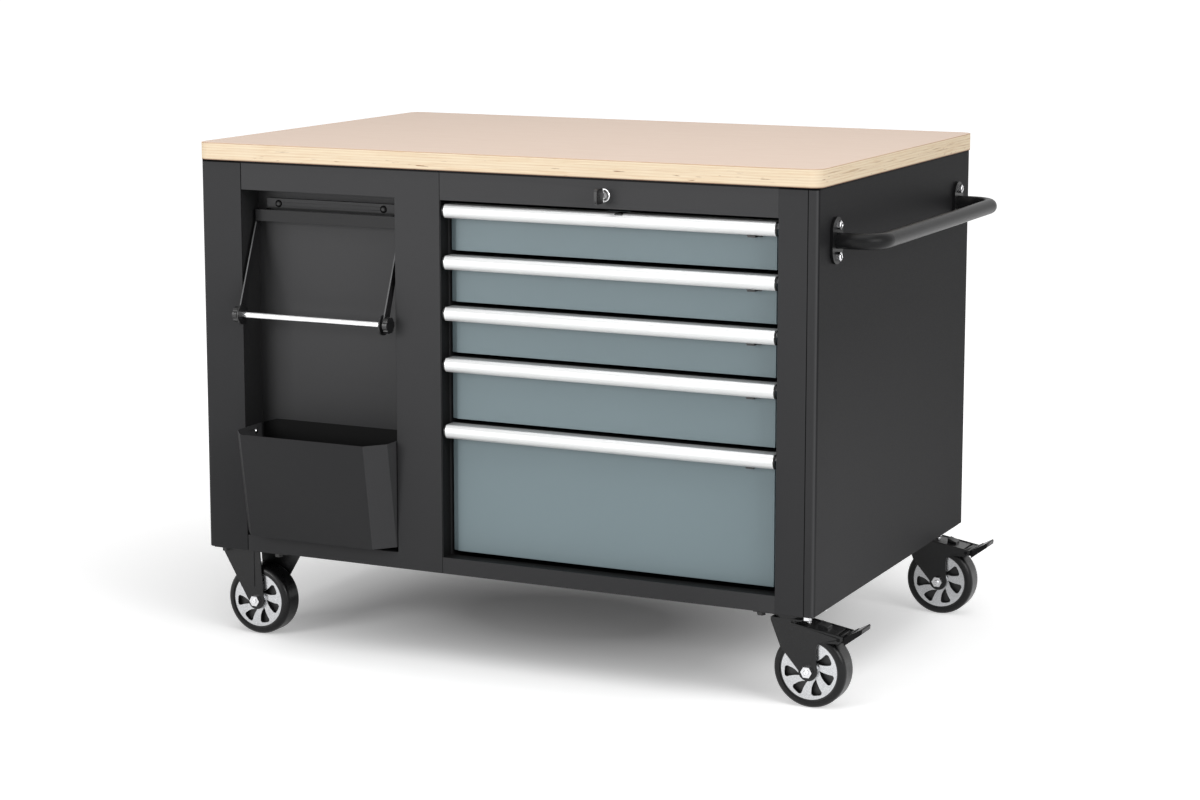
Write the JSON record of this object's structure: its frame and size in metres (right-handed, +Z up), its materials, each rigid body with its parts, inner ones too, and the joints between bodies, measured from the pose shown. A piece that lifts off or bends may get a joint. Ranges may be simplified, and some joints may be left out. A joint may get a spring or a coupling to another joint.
{
  "type": "mobile workbench cabinet",
  "caption": "Wheeled steel tool cabinet with a plywood worktop, a stack of drawers, a niche with a paper roll holder and bin, a push handle and a lock.",
  "frame": {"origin": "on the floor under the middle of the outer box", "axes": "+X to the right along the front, where the push handle is, +Y from the front to the back, +Z up"},
  "size_m": [1.24, 0.829, 0.88],
  "materials": {
    "top": "sealed plywood, satin",
    "carcass": "dark grey powder coat, matt",
    "drawer_front": "blue grey powder coat, matt",
    "handle": "anodised, satin",
    "catch": "black moulding",
    "runner": "zinc plated",
    "lock": "polished",
    "key": "black moulding",
    "push_handle": "black, semi gloss",
    "hardware": "bright plated",
    "roll_hanger": "black powder coat",
    "roll_bar": "bright",
    "knob": "black moulding",
    "caster_metal": "black, semi gloss",
    "tyre": "matt black",
    "wheel": "silver face over a black moulding"
  },
  "bodies": {
    "cabinet": {"worktop": "top", "left_side_panel": "carcass", "right_side_panel": "carcass", "niche_frame": "carcass", "drawer_frame": "carcass", "divider_panel": "carcass", "inner_wall": "carcass", "back_panel": "carcass", "floor_panel": "carcass", "niche_liner": "carcass", "slide_channels": "runner", "lock_housing": "lock", "push_handle": "push_handle", "frame_bolts": "hardware", "roll_bracket": "carcass", "panel_screws": "hardware", "waste_bin": "carcass", "rigid_forks": "caster_metal", "rigid_axle_bolts": "hardware", "swivel_plates": "caster_metal"},
    "drawer_1": {"drawer_1": "drawer_front", "handle_1": "handle"},
    "middle_1": {"middle_slides_1": "runner"},
    "catch_1": {"catch_1": "catch"},
    "drawer_2": {"drawer_2": "drawer_front", "handle_2": "handle"},
    "middle_2": {"middle_slides_2": "runner"},
    "catch_2": {"catch_2": "catch"},
    "drawer_3": {"drawer_3": "drawer_front", "handle_3": "handle"},
    "middle_3": {"middle_slides_3": "runner"},
    "catch_3": {"catch_3": "catch"},
    "drawer_4": {"drawer_4": "drawer_front", "handle_4": "handle"},
    "middle_4": {"middle_slides_4": "runner"},
    "catch_4": {"catch_4": "catch"},
    "drawer_5": {"drawer_5": "drawer_front", "handle_5": "handle"},
    "middle_5": {"middle_slides_5": "runner"},
    "catch_5": {"catch_5": "catch"},
    "lock": {"lock_plug": "lock", "lock_cam": "lock", "lock_key": "key"},
    "roll_frame": {"roll_hanger": "roll_hanger"},
    "roll_bar": {"roll_bar": "roll_bar", "roll_knobs": "knob"},
    "swivel_front": {"swivel_fork_front": "caster_metal", "swivel_axle_bolt_front": "hardware"},
    "pedal_front": {"brake_pedal_front": "caster_metal"},
    "wheel_front_left": {"tyre_front_left": "tyre", "wheel_front_left": "wheel"},
    "wheel_front_right": {"tyre_front_right": "tyre", "wheel_front_right": "wheel"},
    "swivel_rear": {"swivel_fork_rear": "caster_metal", "swivel_axle_bolt_rear": "hardware"},
    "pedal_rear": {"brake_pedal_rear": "caster_metal"},
    "wheel_rear_left": {"tyre_rear_left": "tyre", "wheel_rear_left": "wheel"},
    "wheel_rear_right": {"tyre_rear_right": "tyre", "wheel_rear_right": "wheel"}
  },
  "joints": [
    {"name": "drawer_1_slide", "type": "slide", "parent": "cabinet", "child": "drawer_1", "axis": [0, -1, 0], "range_m": [0, 0.6]},
    {"name": "middle_1_slide", "type": "slide", "parent": "cabinet", "child": "middle_1", "axis": [0, -1, 0], "range_m": [0, 0.3]},
    {"name": "catch_1_slide", "type": "slide", "parent": "drawer_1", "child": "catch_1", "axis": [-1, 0, 0], "range_m": [0, 0.008], "stiffness_N_per_m": 300, "springref_m": -0.004},
    {"name": "drawer_2_slide", "type": "slide", "parent": "cabinet", "child": "drawer_2", "axis": [0, -1, 0], "range_m": [0, 0.6]},
    {"name": "middle_2_slide", "type": "slide", "parent": "cabinet", "child": "middle_2", "axis": [0, -1, 0], "range_m": [0, 0.3]},
    {"name": "catch_2_slide", "type": "slide", "parent": "drawer_2", "child": "catch_2", "axis": [-1, 0, 0], "range_m": [0, 0.008], "stiffness_N_per_m": 300, "springref_m": -0.004},
    {"name": "drawer_3_slide", "type": "slide", "parent": "cabinet", "child": "drawer_3", "axis": [0, -1, 0], "range_m": [0, 0.6]},
    {"name": "middle_3_slide", "type": "slide", "parent": "cabinet", "child": "middle_3", "axis": [0, -1, 0], "range_m": [0, 0.3]},
    {"name": "catch_3_slide", "type": "slide", "parent": "drawer_3", "child": "catch_3", "axis": [-1, 0, 0], "range_m": [0, 0.008], "stiffness_N_per_m": 300, "springref_m": -0.004},
    {"name": "drawer_4_slide", "type": "slide", "parent": "cabinet", "child": "drawer_4", "axis": [0, -1, 0], "range_m": [0, 0.6]},
    {"name": "middle_4_slide", "type": "slide", "parent": "cabinet", "child": "middle_4", "axis": [0, -1, 0], "range_m": [0, 0.3]},
    {"name": "catch_4_slide", "type": "slide", "parent": "drawer_4", "child": "catch_4", "axis": [-1, 0, 0], "range_m": [0, 0.008], "stiffness_N_per_m": 300, "springref_m": -0.004},
    {"name": "drawer_5_slide", "type": "slide", "parent": "cabinet", "child": "drawer_5", "axis": [0, -1, 0], "range_m": [0, 0.6]},
    {"name": "middle_5_slide", "type": "slide", "parent": "cabinet", "child": "middle_5", "axis": [0, -1, 0], "range_m": [0, 0.3]},
    {"name": "catch_5_slide", "type": "slide", "parent": "drawer_5", "child": "catch_5", "axis": [-1, 0, 0], "range_m": [0, 0.008], "stiffness_N_per_m": 300, "springref_m": -0.004},
    {"name": "lock_turn", "type": "hinge", "parent": "cabinet", "child": "lock", "pos_m": [0.1625, -0.3495, 0.822], "axis": [0, 1, 0], "range_deg": [0, 90]},
    {"name": "roll_swing", "type": "hinge", "parent": "cabinet", "child": "roll_frame", "pos_m": [-0.3815, -0.3075, 0.758], "axis": [-1, 0, 0], "range_deg": [0, 70]},
    {"name": "roll_spin", "type": "hinge", "parent": "roll_frame", "child": "roll_bar", "pos_m": [-0.3815, -0.3695, 0.585], "axis": [1, 0, 0], "continuous": true},
    {"name": "swivel_front_turn", "type": "hinge", "parent": "cabinet", "child": "swivel_front", "pos_m": [0.477, -0.2975, 0.148], "axis": [0, 0, 1], "continuous": true},
    {"name": "pedal_front_press", "type": "hinge", "parent": "swivel_front", "child": "pedal_front", "pos_m": [0.567, -0.2975, 0.121], "axis": [0, 1, 0], "range_deg": [0, 20]},
    {"name": "wheel_front_left_spin", "type": "hinge", "parent": "cabinet", "child": "wheel_front_left", "pos_m": [-0.536, -0.2975, 0.0625], "axis": [0, 1, 0], "continuous": true},
    {"name": "wheel_front_right_spin", "type": "hinge", "parent": "swivel_front", "child": "wheel_front_right", "pos_m": [0.515, -0.2975, 0.0625], "axis": [0, 1, 0], "continuous": true},
    {"name": "swivel_rear_turn", "type": "hinge", "parent": "cabinet", "child": "swivel_rear", "pos_m": [0.477, 0.3585, 0.148], "axis": [0, 0, 1], "continuous": true},
    {"name": "pedal_rear_press", "type": "hinge", "parent": "swivel_rear", "child": "pedal_rear", "pos_m": [0.567, 0.3585, 0.121], "axis": [0, 1, 0], "range_deg": [0, 20]},
    {"name": "wheel_rear_left_spin", "type": "hinge", "parent": "cabinet", "child": "wheel_rear_left", "pos_m": [-0.536, 0.3585, 0.0625], "axis": [0, 1, 0], "continuous": true},
    {"name": "wheel_rear_right_spin", "type": "hinge", "parent": "swivel_rear", "child": "wheel_rear_right", "pos_m": [0.515, 0.3585, 0.0625], "axis": [0, 1, 0], "continuous": true}
  ],
  "couplings": [
    {"joint": "middle_1_slide", "follows": "drawer_1_slide", "ratio": 0.5},
    {"joint": "middle_2_slide", "follows": "drawer_2_slide", "ratio": 0.5},
    {"joint": "middle_3_slide", "follows": "drawer_3_slide", "ratio": 0.5},
    {"joint": "middle_4_slide", "follows": "drawer_4_slide", "ratio": 0.5},
    {"joint": "middle_5_slide", "follows": "drawer_5_slide", "ratio": 0.5}
  ]
}
